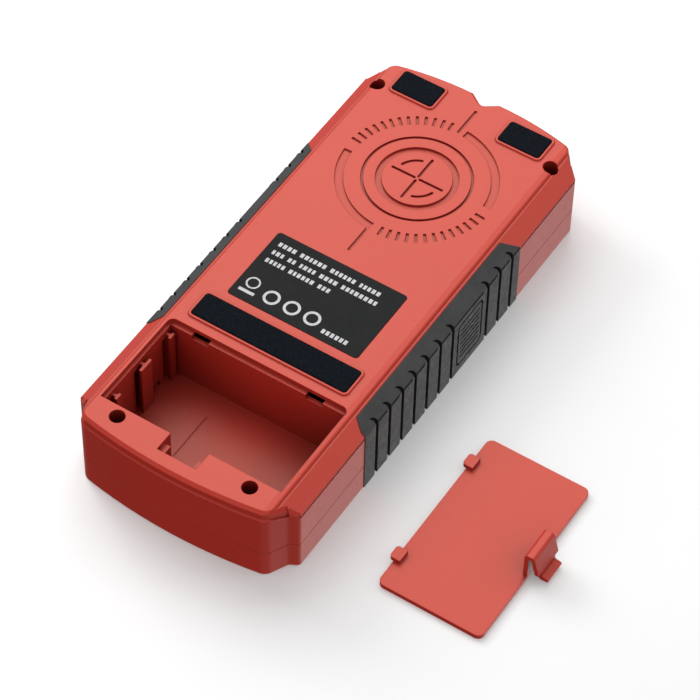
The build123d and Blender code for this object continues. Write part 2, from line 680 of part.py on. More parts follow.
def latch_point(out, down):
    """A point of the latch's section: out from the door's edge, down from its face."""
    return (DOOR_NEAR_Y - out, CASE_HEIGHT - down)


with BuildPart() as battery_door:
    with BuildSketch(Plane.XY.offset(DOOR_BASE_Z)):
        door_depth = BAY_FAR_Y - BAY_NEAR_Y - 2 * DOOR_GAP
        with Locations((0, bay_mid_y)):
            Rectangle(2 * (BAY_HALF_X - DOOR_GAP), door_depth)
        fillet(vertices(), BAY_CORNER_RADIUS)
    extrude(amount=DOOR_THICKNESS)
    with BuildSketch(Plane.YZ):
        with BuildLine():
            Polyline(
                latch_point(-1.3, 1.2), latch_point(-1.3, LATCH_HEIGHT - 0.8),
                latch_point(-0.5, LATCH_HEIGHT), latch_point(1.2, LATCH_HEIGHT),
                latch_point(1.9, LATCH_HEIGHT - 0.7), latch_point(3.4, SHOULDER_HEIGHT),
                latch_point(3.5, 2.4), latch_point(5.4, 2.0), latch_point(5.6, 1.0),
                latch_point(3.2, 0.8), latch_point(2.3, 1.8), latch_point(2.2, SHOULDER_HEIGHT),
                latch_point(0.9, LATCH_HEIGHT - 1.4), latch_point(0.0, LATCH_HEIGHT - 1.4),
                latch_point(0.0, 1.2), close=True,
            )
        make_face()
        fillet(vertices().filter_by(lambda v: v.Z < CASE_HEIGHT - 1.3), 0.3)
    extrude(amount=LATCH_WIDTH / 2, both=True)
    # Shoulders at both sides of the latch's tip, which snap under the catches
    for side in (-1, 1):
        x_range = sorted((side * LATCH_TIP_WIDTH / 2, side * LATCH_WIDTH))
        box_between(
            (x_range[0], DOOR_NEAR_Y - 8, CASE_HEIGHT - SHOULDER_HEIGHT),
            (x_range[1], DOOR_NEAR_Y - 1.5, CASE_HEIGHT),
            mode=Mode.SUBTRACT,
        )
        far_edge = BAY_FAR_Y - DOOR_GAP
        box_between(
            (side * TAB_X - TAB_WIDTH / 2, far_edge + TAB_REACH - TAB_LENGTH, DOOR_BASE_Z - TAB_HEIGHT),
            (side * TAB_X + TAB_WIDTH / 2, far_edge + TAB_REACH, DOOR_BASE_Z),
        )
    tab_ends = battery_door.edges().filter_by(Axis.Z).group_by(Axis.Y)[-1]
    fillet(tab_ends, TAB_RADIUS)

turned_door = battery_door.part.rotate(Axis((0, 0, 0), (1, -1, 0)), 180)
lying_door = turned_door.moved(Location((DOOR_LYING[0], DOOR_LYING[1], CASE_HEIGHT)))

# ---- Felt pads and label ----

felt_bottom = CASE_HEIGHT - FELT_SUNK
felt_names = ("felt_pad_long", "felt_pad_left", "felt_pad_right")
felt_parts = {}
for name, (x, y, width, depth) in zip(felt_names, felt_pads):
    with BuildPart() as felt:
        with BuildSketch(Plane.XY.offset(felt_bottom)):
            with Locations((x, y)):
                RectangleRounded(width, depth, 1.0)
        extrude(amount=FELT_THICKNESS)
    felt_parts[name] = felt.part

with BuildPart() as label_plate:
    with BuildSketch(Plane.XY.offset(CASE_HEIGHT - LABEL_RECESS)):
        with Locations((0, LABEL_Y)):
            RectangleRounded(*LABEL_SIZE, 1.0)
    extrude(amount=LABEL_THICKNESS)

# ---- Screws ----

with BuildPart() as case_screws:
    with BuildSketch(Plane.XY.offset(SCREW_SEAT_Z)):
        with Locations(*CASE_SCREW_SPOTS):
            Circle(SCREW_HEAD_RADIUS)
    extrude(amount=SCREW_HEAD_HEIGHT)
    with BuildSketch(Plane.XY.offset(SCREW_TIP_Z)):
        with Locations(*CASE_SCREW_SPOTS):
            Circle(SCREW_SHANK_RADIUS)
    extrude(amount=SCREW_SEAT_Z - SCREW_TIP_Z)
    with BuildSketch(Plane.XY.offset(SCREW_SEAT_Z + SCREW_HEAD_HEIGHT)):
        with Locations(*CASE_SCREW_SPOTS):
            for turn in (0, 90):
                SlotOverall(2.6, 0.6, rotation=turn)
    extrude(amount=-1.0, mode=Mode.SUBTRACT)

head_radius, head_height, shank_radius, shank_length = SMALL_SCREW

with BuildPart() as board_screws:
    with BuildSketch(Plane.XY.offset(BOARD_Z + BOARD_THICKNESS)):
        with Locations(*BOARD_SCREW_SPOTS):
            Circle(head_radius)
    extrude(amount=head_height)
    with BuildSketch(Plane.XY.offset(BOARD_Z + BOARD_THICKNESS)):
        with Locations(*BOARD_SCREW_SPOTS):
            Circle(shank_radius)
    extrude(amount=-BOARD_THICKNESS - shank_length)
    with BuildSketch(Plane.XY.offset(SENSOR_BOARD_Z)):
        with Locations(*SENSOR_SCREW_SPOTS):
            Circle(head_radius)
    extrude(amount=-head_height)
    with BuildSketch(Plane.XY.offset(SENSOR_BOARD_Z)):
        with Locations(*SENSOR_SCREW_SPOTS):
            Circle(shank_radius)
    extrude(amount=BOARD_THICKNESS + shank_length - 0.2)

# ---- Battery contacts ----

snap_face_x = bay_wall_x + BAY_SKIN
snap_back_x = snap_face_x + SNAP_PLATE[0]

with BuildPart() as battery_snap:
    with BuildSketch(Plane.YZ.offset(snap_face_x)):
        with Locations((SNAP_Y, SNAP_Z)):
            RectangleRounded(SNAP_PLATE[1], SNAP_PLATE[2], SNAP_CORNER_RADIUS)
    extrude(amount=SNAP_PLATE[0])

with BuildPart() as snap_contacts:
    with BuildSketch(Plane.YZ.offset(snap_face_x)):
        with Locations((SNAP_Y - SNAP_SPACING / 2, SNAP_Z)):
            Circle(STUD_RADIUS)
        with Locations((SNAP_Y + SNAP_SPACING / 2, SNAP_Z)):
            RegularPolygon(SOCKET_RADIUS, 6)
            Circle(STUD_RADIUS + 0.1, mode=Mode.SUBTRACT)
    extrude(amount=-CONTACT_REACH)

# ---- Leads from the battery contacts to the main board ----
# Each leaves the snap's back, runs along the side wall and turns down to the board.

board_back = BOARD_Z + BOARD_THICKNESS
lead_routes = {
    "positive_lead": [
        (snap_back_x, -50.0, 16.4), (LEAD_X, -50.0, 16.4), (LEAD_X, -33.8, 16.4),
        (16.5, -31.5, 13.2), (16.5, -31.5, board_back),
    ],
    "negative_lead": [
        (snap_back_x, -56.0, 12.4), (LEAD_X, -56.0, 12.4), (LEAD_X, -33.4, 12.4),
        (20.5, -32.0, 12.0), (20.5, -32.0, board_back),
    ],
}
lead_parts = {}
for name, points in lead_routes.items():
    with BuildPart() as lead:
        with BuildLine() as route:
            FilletPolyline(*points, radius=LEAD_BEND)
        with BuildSketch(Plane(origin=points[0], z_dir=(1, 0, 0))):
            Circle(LEAD_RADIUS)
        sweep(path=route.line)
    lead_parts[name] = lead.part

# ---- Main board and what it carries ----

with BuildPart() as main_board:
    with BuildSketch(Plane.XY.offset(BOARD_Z)):
        with Locations((0, BOARD_Y)):
            RectangleRounded(*BOARD_SIZE, 2.0)
        with Locations(*BOARD_SCREW_SPOTS):
            Circle(shank_radius, mode=Mode.SUBTRACT)
    extrude(amount=BOARD_THICKNESS)

with BuildPart() as microcontroller:
    with Locations((*CONTROLLER_SPOT, board_back + CONTROLLER[2] / 2)):
        Box(*CONTROLLER)
    chamfer(microcontroller.edges().group_by(Axis.Z)[-1], 0.2)

with BuildPart() as board_chips:
    for x, y, width, depth in CHIPS:
        with Locations((x, y, board_back + CHIP_HEIGHT / 2)):
            Box(width, depth, CHIP_HEIGHT)

with BuildPart() as crystal:
    with BuildSketch(Plane.XY.offset(board_back)):
        with Locations(CRYSTAL_SPOT):
            SlotOverall(CRYSTAL[0], CRYSTAL[1])
    extrude(amount=CRYSTAL[2])

with BuildPart() as capacitors:
    for x, y, radius, height in CAPACITORS:
        with BuildSketch(Plane.XY.offset(board_back)):
            with Locations((x, y)):
                Circle(radius)
        extrude(amount=height)

with BuildPart() as buzzer:
    with BuildSketch(Plane.XY.offset(board_back)):
        with Locations(BUZZER_SPOT):
            Circle(BUZZER_RADIUS)
    extrude(amount=BUZZER_HEIGHT)
    with BuildSketch(Plane.XY.offset(board_back + BUZZER_HEIGHT)):
        with Locations(BUZZER_SPOT):
            Circle(1.0)
    extrude(amount=-2.0, mode=Mode.SUBTRACT)

with BuildPart() as tact_switches:
    switch_spots = [place[:2] for place in key_places.values()]
    with BuildSketch(Plane.XY.offset(BOARD_Z)):
        with Locations(*switch_spots):
            RectangleRounded(SWITCH_SIZE, SWITCH_SIZE, 0.5)
    extrude(amount=-SWITCH_HEIGHT)
    with BuildSketch(Plane.XY.offset(BOARD_Z - SWITCH_HEIGHT)):
        with Locations(*switch_spots):
            Circle(SWITCH_BUTTON[0])
    extrude(amount=-SWITCH_BUTTON[1])

with BuildPart() as board_link:
    pin_count, pin_pitch, pin_width = LINK_PINS
    with Locations((0, LINK_Y, board_back + LINK_BODY[2] / 2)):
        Box(*LINK_BODY)
    with BuildSketch(Plane.XY.offset(board_back + LINK_BODY[2])):
        with Locations((0, LINK_Y)):
            with GridLocations(pin_pitch, 0, pin_count, 1):
                Rectangle(pin_width, pin_width)
    extrude(amount=SENSOR_BOARD_Z - board_back - LINK_BODY[2])

# ---- Display stack, between the window and the main board ----

with BuildPart() as display_window:
    with BuildSketch(Plane.XY.offset(WINDOW_SUNK)):
        with Locations((0, WINDOW_Y)):
            RectangleRounded(*WINDOW_SIZE, 3.0)
    extrude(amount=WINDOW_THICKNESS)

with BuildPart() as lcd_glass:
    with Locations((0, WINDOW_Y, FRONT_SKIN + 1.3)):
        Box(43.0, 35.0, 2.2)

with BuildPart() as backlight:
    with Locations((0, WINDOW_Y, FRONT_SKIN + 3.4)):
        Box(41.0, 26.0, 2.0)

with BuildPart() as zebra_strips:
    with Locations((0, WINDOW_Y - 15.5, 6.4), (0, WINDOW_Y + 15.5, 6.4)):
        Box(40.0, 2.0, 2 * (BOARD_Z - 6.4))

with BuildPart() as lcd_frame:
    frame_base = FRONT_SKIN + 0.2
    with BuildSketch(Plane.XY.offset(frame_base)):
        with Locations((0, WINDOW_Y)):
            Rectangle(46.0, 38.0)
            Rectangle(43.2, 35.2, mode=Mode.SUBTRACT)
    extrude(amount=BOARD_Z - frame_base)

# ---- Sensor board, facing the wall through the back cover ----

sensor_back = SENSOR_BOARD_Z + BOARD_THICKNESS

with BuildPart() as sensor_board:
    with BuildSketch(Plane.XY.offset(SENSOR_BOARD_Z)):
        with Locations((0, TARGET_Y)):
            RectangleRounded(*SENSOR_BOARD_SIZE, 2.0)
        with Locations(*SENSOR_SCREW_SPOTS):
            Circle(shank_radius, mode=Mode.SUBTRACT)
    extrude(amount=BOARD_THICKNESS)

with BuildPart() as sensor_plates:
    with BuildSketch(Plane.XY.offset(sensor_back)):
        with Locations((0, TARGET_Y)):
            with GridLocations(SENSOR_PLATE_PITCH, 0, 3, 1):
                RectangleRounded(*SENSOR_PLATE, 1.0)
    extrude(amount=FOIL_THICKNESS)

with BuildPart() as live_wire_aerial:
    with BuildSketch(Plane.XY.offset(sensor_back)):
        with Locations((0, AERIAL_Y)):
            Rectangle(*AERIAL)
    extrude(amount=FOIL_THICKNESS)

winding_top = SENSOR_BOARD_Z - BOBBIN_FLANGE
winding_height = BOBBIN_HEIGHT - 2 * BOBBIN_FLANGE

with BuildPart() as coil_bobbin:
    with BuildSketch(Plane.XY.offset(SENSOR_BOARD_Z)):
        with Locations((0, TARGET_Y)):
            Circle(COIL_RADIUS + 2.5)
            Circle(COIL_RADIUS - 3.0, mode=Mode.SUBTRACT)
    extrude(amount=-BOBBIN_HEIGHT)
    with BuildSketch(Plane.XY.offset(winding_top)):
        with Locations((0, TARGET_Y)):
            Circle(COIL_RADIUS + 2.5)
            Circle(COIL_RADIUS - 1.5, mode=Mode.SUBTRACT)
    extrude(amount=-winding_height, mode=Mode.SUBTRACT)

with BuildPart() as metal_coil:
    with BuildSketch(Plane.XY.offset(winding_top)):
        with Locations((0, TARGET_Y)):
            Circle(COIL_RADIUS + 2.0)
            Circle(COIL_RADIUS - 1.5, mode=Mode.SUBTRACT)
    extrude(amount=-winding_height)

# ---- Keys ----

key_parts = {}
for name, (x, y, width, depth) in key_places.items():
    with BuildPart() as key:
        with BuildSketch(Plane.XY.offset(KEY_TOP_Z)):
            with Locations((x, y)):
                RectangleRounded(width, depth, KEY_RADIUS)
        extrude(amount=FRONT_SKIN - KEY_TOP_Z + 0.1)
        chamfer(key.edges().group_by(Axis.Z)[0], 0.4)
        with BuildSketch(Plane.XY.offset(FRONT_SKIN + 0.1)):
            with Locations((x, y)):
                RectangleRounded(width + 2 * KEY_FLANGE, depth + 2 * KEY_FLANGE, KEY_RADIUS + 0.8)
        extrude(amount=KEY_FLANGE_HEIGHT)
        with BuildSketch(Plane.XY.offset(FRONT_SKIN)):
            with Locations((x, y)):
                Circle(KEY_STEM_RADIUS)
        extrude(amount=KEY_STEM_Z - FRONT_SKIN)
    key_parts[name] = key.part

# ---- Write every piece ----

os.makedirs("parts", exist_ok=True)
pieces = {
    "rear_cover": back_cover.part,
    "front_cover": front_cover.part,
    "left_grip": left_grip.part,
    "right_grip": right_grip.part,
    "label_plate": label_plate.part,
    "battery_door": lying_door,
    "case_screws": case_screws.part,
    "board_screws": board_screws.part,
    "battery_snap": battery_snap.part,
    "snap_contacts": snap_contacts.part,
    "main_board": main_board.part,
    "microcontroller": microcontroller.part,
    "board_chips": board_chips.part,
    "crystal": crystal.part,
    "capacitors": capacitors.part,
    "buzzer": buzzer.part,
    "tact_switches": tact_switches.part,
    "board_link": board_link.part,
    "display_window": display_window.part,
    "lcd_glass": lcd_glass.part,
    "lcd_frame": lcd_frame.part,
    "backlight": backlight.part,
    "zebra_strips": zebra_strips.part,
    "sensor_board": sensor_board.part,
    "sensor_plates": sensor_plates.part,
    "live_wire_aerial": live_wire_aerial.part,
    "coil_bobbin": coil_bobbin.part,
    "metal_coil": metal_coil.part,
    **felt_parts,
    **lead_parts,
    **key_parts,
}
for node, shape in pieces.items():
    label_and_export(shape, node)
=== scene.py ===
import math
import random

import bmesh
import bpy
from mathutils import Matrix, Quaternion, Vector, noise


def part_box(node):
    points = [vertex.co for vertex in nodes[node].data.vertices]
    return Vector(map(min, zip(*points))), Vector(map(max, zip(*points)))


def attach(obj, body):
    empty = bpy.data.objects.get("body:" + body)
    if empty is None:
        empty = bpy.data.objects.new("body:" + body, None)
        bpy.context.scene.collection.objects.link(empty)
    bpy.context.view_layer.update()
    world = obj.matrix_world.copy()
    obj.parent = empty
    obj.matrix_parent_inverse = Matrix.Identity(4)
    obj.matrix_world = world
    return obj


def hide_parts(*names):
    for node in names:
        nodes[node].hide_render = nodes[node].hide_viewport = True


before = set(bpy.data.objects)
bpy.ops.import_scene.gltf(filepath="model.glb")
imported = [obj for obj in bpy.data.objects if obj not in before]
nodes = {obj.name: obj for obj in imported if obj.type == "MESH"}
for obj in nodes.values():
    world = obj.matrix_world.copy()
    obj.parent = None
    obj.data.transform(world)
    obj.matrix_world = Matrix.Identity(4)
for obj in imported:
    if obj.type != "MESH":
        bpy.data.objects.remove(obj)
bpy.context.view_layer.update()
MM = 0.001
WHITE = (1, 1, 1, 1)

# ---- Camera, floor and light ----

AIM = Vector((6.4, -0.5, 0.0)) * MM
CAMERA_DISTANCE = 906.9 * MM
CAMERA_AZIMUTH = math.radians(31.87)
CAMERA_ELEVATION = math.radians(51.23)
CAMERA_ROLL = math.radians(1.37)
# In millimetres, as Blender's cameras have them
CAMERA_LENS = 166.85
SENSOR_WIDTH = 36.0
CAMERA_REACH = 10.0

FLOOR_SIZE = 4.0
FLOOR_Z = -0.05 * MM
FLOOR_ALBEDO = 0.7
FLOOR_MOTTLE = 0.01
FLOOR_GLOW = 0.16
# Strength of the surround below the horizon, at the horizon and overhead
LOW_STRENGTH = 0.39
SKY_LOW = 0.15
SKY_HIGH = 0.88
# Heights of a unit sight line between which the low surround gives way to the sky
HORIZON = (-0.2, 0.02)
# Round cards in the low surround, as azimuth and elevation in degrees, strength and the cosine
# of their soft edge: dark ones before the plain end and the corner, a pale one by the right side
CARDS = ((-32, -51, 0.0, 0.75), (48, -51, 0.15, 0.88), (148, -51, 1.2, 0.88))
# Cosine within which a card has its full strength
CARD_FULL = 0.96
# Azimuth and elevation in degrees, distance and size in metres, and power in watts
SOFTBOXES = {
    "sheen_light": (-138, 50, 0.8, 0.75, 4.3),
    "rim_light": (126, 27, 1.2, 0.35, 0.9),
}
# A low light from the left that reaches the floor alone and draws out the soft shadow
FLOOR_LIGHT = (-98, 30, 0.5, 0.28, 1.75)
# A fill for the plain end that leaves no reflection
FILL_LIGHT = (5, 10, 1.0, 0.6, 0.9)


def direction(azimuth, elevation):
    """Unit vector from the object towards a place seen at that azimuth and elevation."""
    flat = math.cos(elevation)
    return Vector((math.sin(azimuth) * flat, -math.cos(azimuth) * flat, math.sin(elevation)))


def add_camera():
    """A camera that looks at the aim point from the set direction and distance."""
    data = bpy.data.cameras.new("camera")
    data.lens = CAMERA_LENS
    data.sensor_width = SENSOR_WIDTH
    data.clip_end = CAMERA_REACH
    camera = bpy.data.objects.new("camera", data)
    bpy.context.collection.objects.link(camera)
    towards = direction(CAMERA_AZIMUTH, CAMERA_ELEVATION)
    camera.location = AIM + towards * CAMERA_DISTANCE
    camera.rotation_mode = "QUATERNION"
    level = (-towards).to_track_quat("-Z", "Y")
    camera.rotation_quaternion = level @ Quaternion((0, 0, 1), CAMERA_ROLL)
    bpy.context.scene.camera = camera


def add_softbox(name, azimuth, elevation, distance, size, power):
    """A square area light that faces the object."""
    data = bpy.data.lights.new(name, "AREA")
    data.energy = power
    data.size = size
    light = bpy.data.objects.new(name, data)
    bpy.context.collection.objects.link(light)
    towards = direction(math.radians(azimuth), math.radians(elevation))
    light.location = AIM + towards * distance
    light.rotation_mode = "QUATERNION"
    light.rotation_quaternion = (-towards).to_track_quat("-Z", "Y")
    return light


def add_sky():
    """A surround that brightens overhead, with dark and pale cards below the horizon."""
    world = bpy.data.worlds.new("studio")
    bpy.context.scene.world = world
    world.use_nodes = True
    world.cycles.sampling_method = "NONE"
    tree = world.node_tree
    way = tree.nodes.new("ShaderNodeTexCoord").outputs["Generated"]
    axes = tree.nodes.new("ShaderNodeSeparateXYZ")
    tree.links.new(way, axes.inputs["Vector"])
    height = axes.outputs["Z"]

    def spread(value, start, end, low, high):
        """Maps start..end to low..high, where low and high are numbers or sockets."""
        made = tree.nodes.new("ShaderNodeMapRange")
        tree.links.new(value, made.inputs["Value"])
        for socket, number in (("From Min", start), ("From Max", end)):
            made.inputs[socket].default_value = number
        for socket, number in (("To Min", low), ("To Max", high)):
            if isinstance(number, bpy.types.NodeSocket):
                tree.links.new(number, made.inputs[socket])
            else:
                made.inputs[socket].default_value = number
        return made.outputs["Result"]

    low = LOW_STRENGTH
    for azimuth, elevation, card_strength, edge in CARDS:
        towards_card = tree.nodes.new("ShaderNodeVectorMath")
        towards_card.operation = "DOT_PRODUCT"
        tree.links.new(way, towards_card.inputs[0])
        towards_card.inputs[1].default_value = direction(math.radians(azimuth), math.radians(elevation))
        low = spread(towards_card.outputs["Value"], edge, CARD_FULL, low, card_strength)
    sky = spread(height, 0, 1, SKY_LOW, SKY_HIGH)
    strength = spread(height, *HORIZON, low, sky)
    background = tree.nodes["Background"]
    background.inputs["Color"].default_value = WHITE
    tree.links.new(strength, background.inputs["Strength"])


def add_floor():
    """A pale floor that gives the object no reflection and no bounced light."""
    bpy.ops.mesh.primitive_plane_add(size=FLOOR_SIZE, location=(0, 0, FLOOR_Z))
    floor = bpy.context.object
    floor.name = "floor"
    floor.visible_glossy = False
    floor.visible_diffuse = False
    paper = Surface("floor", {
        "Roughness": 0.7, "Specular IOR Level": 0.0, "Emission Color": WHITE,
        "Emission Strength": FLOOR_GLOW,
    })
    paper.color(paper.noise(40, 2), (FLOOR_ALBEDO - FLOOR_MOTTLE,) * 3, (FLOOR_ALBEDO,) * 3)
    floor.data.materials.append(paper.material)
    lit_floor = bpy.data.collections.new("lit_floor")
    lit_floor.objects.link(floor)
    light = add_softbox("floor_light", *FLOOR_LIGHT)
    light.light_linking.receiver_collection = lit_floor


# ---- Material tools ----

# Range that holds the middle of a noise pattern's values
NOISE_RANGE = (0.35, 0.65)
# The Wave texture's bands repeat at this distance when its scale is 1
WAVE_PERIOD = 0.1 * math.pi
# The Mix node's two color inputs and its color output
MIX_INPUTS = (6, 7)
MIX_RESULT = 2
# Samples of the occlusion that sets the painted shade in crevices
CREVICE_SHADE_SAMPLES = 8
EDGE_SAMPLES = 6


class Surface:
    """A Principled material fed by a few procedural patterns in the object's own space."""

    def __init__(self, name, constants):
        self.material = bpy.data.materials.new(name)
        self.material.use_nodes = True
        self.tree = self.material.node_tree
        self.shader = self.tree.nodes["Principled BSDF"]
        for socket, value in constants.items():
            self.shader.inputs[socket].default_value = value
        self.place = self.node("TexCoord").outputs["Object"]
        self.normal = None

    def node(self, kind, inputs=None, **settings):
        """Adds a node, each input of which is given as a constant or as a socket to link."""
        made = self.tree.nodes.new("ShaderNode" + kind)
        for name, value in settings.items():
            setattr(made, name, value)
        for name, value in (inputs or {}).items():
            if isinstance(value, bpy.types.NodeSocket):
                self.tree.links.new(value, made.inputs[name])
            else:
                made.inputs[name].default_value = value
        return made

    def noise(self, grain, detail, stretch=(1, 1, 1), distortion=0.0):
        """Soft noise with patches about that many millimetres across."""
        spot = self.node("Mapping", {"Vector": self.place, "Scale": stretch}).outputs["Vector"]
        made = self.node("TexNoise", {
            "Vector": spot, "Scale": 1 / (grain * MM), "Detail": detail, "Distortion": distortion,
        })
        return made.outputs["Fac"]

    def cells(self, size):
        """Distance inside cells about that many millimetres across."""
        made = self.node("TexVoronoi", {"Vector": self.place, "Scale": 1 / (size * MM)})
        return made.outputs["Distance"]

    def stripes(self, pitch, along):
        """Bands that repeat every pitch millimetres along an axis, or twice that if diagonal."""
        scale = WAVE_PERIOD / (pitch * MM)
        made = self.node("TexWave", {"Vector": self.place, "Scale": scale}, bands_direction=along)
        return made.outputs["Fac"]

    def ramp(self, value, low, high, start=NOISE_RANGE[0], end=NOISE_RANGE[1]):
        """Maps start..end of a pattern to low..high."""
        made = self.node("MapRange", {
            "Value": value, "From Min": start, "From Max": end, "To Min": low, "To Max": high,
        })
        return made.outputs["Result"]

    def mix(self, factor, dark, light):
        """Mixes two colors, each given as a color or a socket."""
        made = self.node("Mix", {"Factor": factor}, data_type="RGBA")
        for place, value in zip(MIX_INPUTS, (dark, light)):
            if isinstance(value, bpy.types.NodeSocket):
                self.tree.links.new(value, made.inputs[place])
            else:
                made.inputs[place].default_value = (*value, 1)
        return made.outputs[MIX_RESULT]

    def base_color(self, color):
        self.tree.links.new(color, self.shader.inputs["Base Color"])

    def color(self, pattern, dark, light, start=NOISE_RANGE[0], end=NOISE_RANGE[1]):
        """Colors the surface from dark to light as the pattern rises."""
        self.base_color(self.mix(self.ramp(pattern, 0, 1, start, end), dark, light))

    def roughness(self, pattern, low, high):
        """Roughens the surface from low to high as the pattern rises."""
        self.tree.links.new(self.ramp(pattern, low, high), self.shader.inputs["Roughness"])

    def paint_crevice_shade(self, reach, depth):
        """Darkens the base color inside the piece's own wells, grooves and pockets, as painted shade."""
        open_share = self.node(
            "AmbientOcclusion", {"Distance": reach * MM}, samples=CREVICE_SHADE_SAMPLES, only_local=True
        )
        light = self.ramp(open_share.outputs["AO"], 1 - depth, 1.0, 0.0, 1.0)
        painted_shade = self.node("Mix", {"Factor": 1.0}, data_type="RGBA", blend_type="MULTIPLY")
        lit_color = self.shader.inputs["Base Color"].links[0].from_socket
        for place, value in zip(MIX_INPUTS, (lit_color, light)):
            self.tree.links.new(value, painted_shade.inputs[place])
        self.base_color(painted_shade.outputs[MIX_RESULT])

    def soft_edges(self, radius):
        """Catches light along edges as a moulding's small edge radius does."""
        bevel = self.node("Bevel", {"Radius": radius * MM}, samples=EDGE_SAMPLES)
        self.normal = bevel.outputs["Normal"]
        self.tree.links.new(self.normal, self.shader.inputs["Normal"])

    def bump(self, pattern, depth, strength=1.0):
        """Raises the pattern by that many millimetres, on top of any earlier normal."""
        made = self.node("Bump", {"Height": pattern, "Distance": depth * MM, "Strength": strength})
        if self.normal:
            self.tree.links.new(self.normal, made.inputs["Normal"])
        self.normal = made.outputs["Normal"]
        self.tree.links.new(self.normal, self.shader.inputs["Normal"])


def shade(color, factor):
    """The same color, darker or lighter."""
    return tuple(channel * factor for channel in color)


# ---- Materials ----

# A pigmented moulding's reflection is a little warmer than the light
WARM_TINT = (1, 1, 0.82, 1)
# How dark the painted shade in a moulding's crevices gets
CREVICE_SHADE_DEPTH = 0.78
METAL_GRAIN = 0.3


def moulded(name, color, roughness=0.4, grain=0.35, depth=0.008, edge=0.25, crevice_shade_reach=0):
    """Moulded plastic: fine spark-eroded grain, faint flow shading, softened edges, and painted shade in
    its crevices when a reach is given.
    """
    made = Surface(name, {"Specular IOR Level": 0.5, "Specular Tint": WARM_TINT})
    made.color(made.noise(25, 2), shade(color, 0.985), shade(color, 1.01))
    made.roughness(made.noise(1.5, 3), roughness - 0.015, roughness + 0.02)
    if crevice_shade_reach:
        made.paint_crevice_shade(crevice_shade_reach, CREVICE_SHADE_DEPTH)
    if edge:
        made.soft_edges(edge)
    made.bump(made.noise(grain, 3), depth)
    return made.material


def grip_rubber():
    """Matt moulded rubber with a stippled skin, a trace of dust and painted shade in its grooves."""
    made = Surface("grip_rubber", {"Specular IOR Level": 0.35})
    made.color(made.noise(6, 4), (0.048, 0.050, 0.049), (0.060, 0.061, 0.060))
    made.roughness(made.noise(1.2, 3), 0.52, 0.68)
    # Painted shade in the grip's grooves
    made.paint_crevice_shade(3, 0.95)
    made.soft_edges(0.2)
    made.bump(made.cells(0.45), 0.012, 0.6)
    made.bump(made.noise(0.2, 2), 0.008, 0.6)
    return made.material


def key_rubber():
    """Darker, finer rubber of the front keys."""
    made = Surface("key_rubber", {"Specular IOR Level": 0.4})
    made.color(made.noise(3, 3), (0.020, 0.020, 0.021), (0.028, 0.028, 0.029))
    made.roughness(made.noise(1, 3), 0.5, 0.62)
    made.soft_edges(0.3)
    made.bump(made.noise(0.25, 2), 0.01, 0.5)
    return made.material


def label_film():
    """Dark satin film with a very fine orange-peel skin."""
    made = Surface("label_film", {"Specular IOR Level": 0.05})
    made.color(made.noise(5, 2), (0.0165, 0.017, 0.0175), (0.019, 0.0195, 0.020))
    made.roughness(made.noise(1.5, 2), 0.48, 0.56)
    made.bump(made.noise(0.6, 2), 0.004, 0.5)
    return made.material


def print_ink():
    """Pale ink with a slightly uneven cover."""
    made = Surface("print_ink", {"Specular IOR Level": 0.3})
    made.color(made.noise(0.5, 2), (0.50, 0.50, 0.50), (0.66, 0.66, 0.66))
    made.roughness(made.noise(0.8, 2), 0.5, 0.6)
    return made.material


def felt():
    """Pressed dark felt: matted fibres, with a few paler blue ones."""
    made = Surface("felt", {
        "Roughness": 0.95, "Specular IOR Level": 0.0, "Sheen Weight": 0.03, "Sheen Roughness": 0.5,
    })
    fibres = made.noise(0.22, 4, stretch=(1, 0.35, 1), distortion=1.5)
    matted = made.mix(made.ramp(fibres, 0, 1), (0.0035, 0.0045, 0.006), (0.012, 0.015, 0.020))
    flecks = made.ramp(made.noise(0.5, 3), 0, 1, 0.66, 0.74)
    made.base_color(made.mix(flecks, matted, (0.035, 0.045, 0.075)))
    made.bump(fibres, 0.08, 0.8)
    return made.material


def metal(name, color, roughness):
    """Plated or drawn metal with fine working marks."""
    made = Surface(name, {"Metallic": 1.0})
    made.color(made.noise(2, 2), shade(color, 0.9), color)
    made.roughness(made.noise(METAL_GRAIN * 3, 3), roughness - 0.06, roughness + 0.08)
    made.soft_edges(0.12)
    made.bump(made.noise(METAL_GRAIN, 3), 0.004, 0.6)
    return made.material


def circuit_board():
    """Green solder resist over copper tracks."""
    made = Surface("circuit_board", {"Specular IOR Level": 0.5, "Coat Weight": 0.3})
    tracks = made.ramp(made.stripes(2.54, "DIAGONAL"), 0, 1, 0.55, 0.62)
    islands = made.ramp(made.noise(9, 1), 0, 1, 0.49, 0.51)
    pattern = made.node("Math", {0: tracks, 1: islands}, operation="MULTIPLY").outputs[0]
    made.base_color(made.mix(pattern, (0.006, 0.075, 0.022), (0.014, 0.15, 0.05)))
    made.roughness(made.noise(1, 2), 0.25, 0.35)
    made.bump(pattern, 0.03, 0.5)
    return made.material


def wound_copper():
    """Copper with the fine ridges of closely wound wire."""
    made = Surface("copper", {"Metallic": 1.0})
    turns = made.stripes(0.8, "Z")
    made.color(turns, (0.50, 0.20, 0.09), (0.85, 0.42, 0.24), 0.2, 0.8)
    made.roughness(made.noise(0.8, 2), 0.25, 0.38)
    made.bump(turns, 0.05)
    return made.material


def contact_rubber():
    """Zebra strip: dark conducting layers between pale insulating ones."""
    made = Surface("contact_rubber", {"Specular IOR Level": 0.3})
    made.color(made.stripes(0.4, "X"), (0.02, 0.02, 0.02), (0.5, 0.42, 0.42), 0.3, 0.7)
    made.roughness(made.noise(1, 2), 0.6, 0.75)
    return made.material


def clear_plastic(name, tint, roughness):
    """Clear window material with faint polishing haze."""
    made = Surface(name, {"IOR": 1.49, "Transmission Weight": 0.92})
    made.color(made.noise(6, 2), shade(tint, 0.97), tint)
    made.roughness(made.noise(3, 3), roughness, roughness + 0.03)
    made.soft_edges(0.3)
    return made.material
